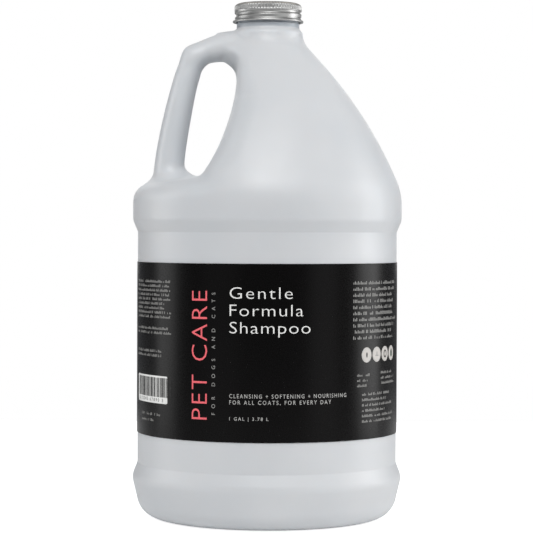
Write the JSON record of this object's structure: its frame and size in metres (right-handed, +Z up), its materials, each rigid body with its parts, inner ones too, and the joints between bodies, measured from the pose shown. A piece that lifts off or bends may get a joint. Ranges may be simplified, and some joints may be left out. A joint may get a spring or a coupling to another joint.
{
  "type": "shampoo bottle",
  "caption": "Round jug with a hollow side handle, a wrap-round label and a screw cap with a two-ply liner, for refilling grooming bottles.",
  "frame": {"origin": "centre of the base plane, on the axis of the neck", "axes": "+Z up along the neck, -X towards the handle, -Y out of the label's front panel"},
  "size_m": [0.1542, 0.1542, 0.2943],
  "materials": {
    "jug": "satin, natural high-density polyethylene",
    "label": "printed film, semi-gloss",
    "cap": "rolled sheet, bright",
    "backing": "matt pulpboard",
    "facing": "satin film"
  },
  "bodies": {
    "jug": {"jug_body": "jug", "wrap_label": "label"},
    "liner": {"liner_backing": "backing", "liner_facing": "facing"},
    "cap": {"cap_shell": "cap"}
  },
  "joints": [
    {"name": "cap_lift", "type": "slide", "parent": "jug", "child": "liner", "axis": [0, 0, 1], "range_m": [0, 0.0128]},
    {"name": "cap_turn", "type": "hinge", "parent": "liner", "child": "cap", "pos_m": [0, 0, 0.2889], "axis": [0, 0, 1], "range_deg": [0, 1080]}
  ],
  "couplings": [
    {"joint": "cap_lift", "follows": "cap_turn", "m_per_rad": 0.00067375}
  ]
}
